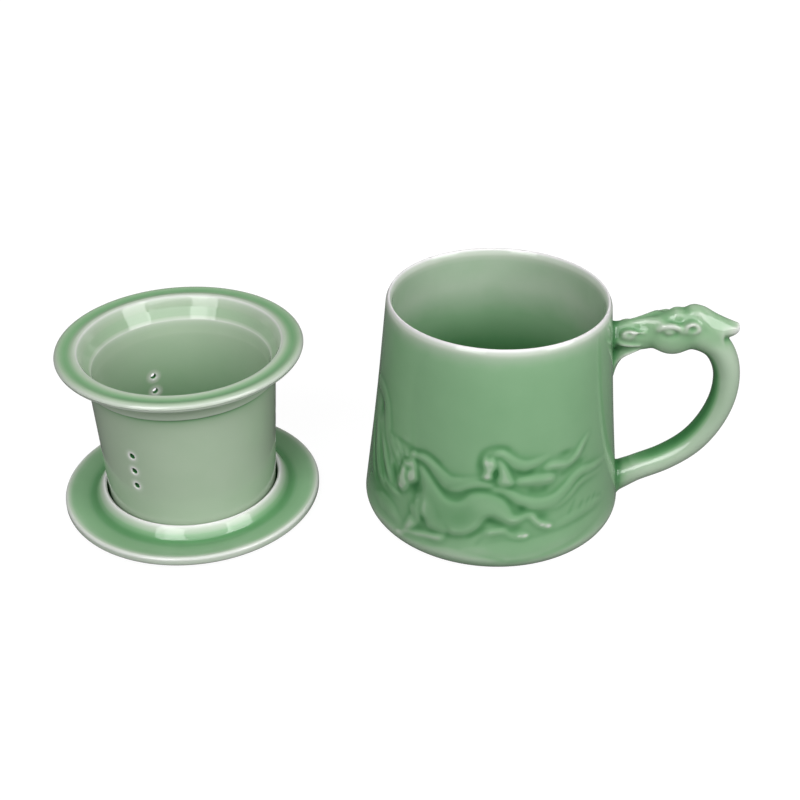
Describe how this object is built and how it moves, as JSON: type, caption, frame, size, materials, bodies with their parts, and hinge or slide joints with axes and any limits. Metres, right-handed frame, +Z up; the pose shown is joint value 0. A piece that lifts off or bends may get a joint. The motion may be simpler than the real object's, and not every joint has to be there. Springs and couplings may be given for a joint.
{
  "type": "lidded tea mug with infuser",
  "caption": "Glazed stoneware tea mug with a horse's-head handle and galloping-horse relief, a flanged infuser cup and a flat lid that turns over to be its saucer.",
  "frame": {"origin": "centre of the mug's foot ring, on the plane that the mug stands on", "axes": "+Z is up through the mug's mouth; +X points from the mug's axis to its handle, and the lid and infuser lie towards -X"},
  "size_m": [0.2589, 0.099, 0.0894],
  "materials": {
    "mug_glaze": "gloss",
    "handle_glaze": "gloss",
    "infuser_glaze": "gloss",
    "lid_glaze": "gloss"
  },
  "bodies": {
    "mug": {"mug_body": "mug_glaze", "handle_loop": "handle_glaze", "horse_head": "handle_glaze"},
    "lid": {"lid": "lid_glaze"},
    "infuser": {"infuser": "infuser_glaze"}
  },
  "joints": [
    {"name": "lid_lift", "type": "slide", "parent": "mug", "child": "lid", "axis": [0, 0, 1], "range_m": [0, 0.12]},
    {"name": "infuser_lift", "type": "slide", "parent": "lid", "child": "infuser", "axis": [0, 0, 1], "range_m": [0, 0.1]}
  ]
}
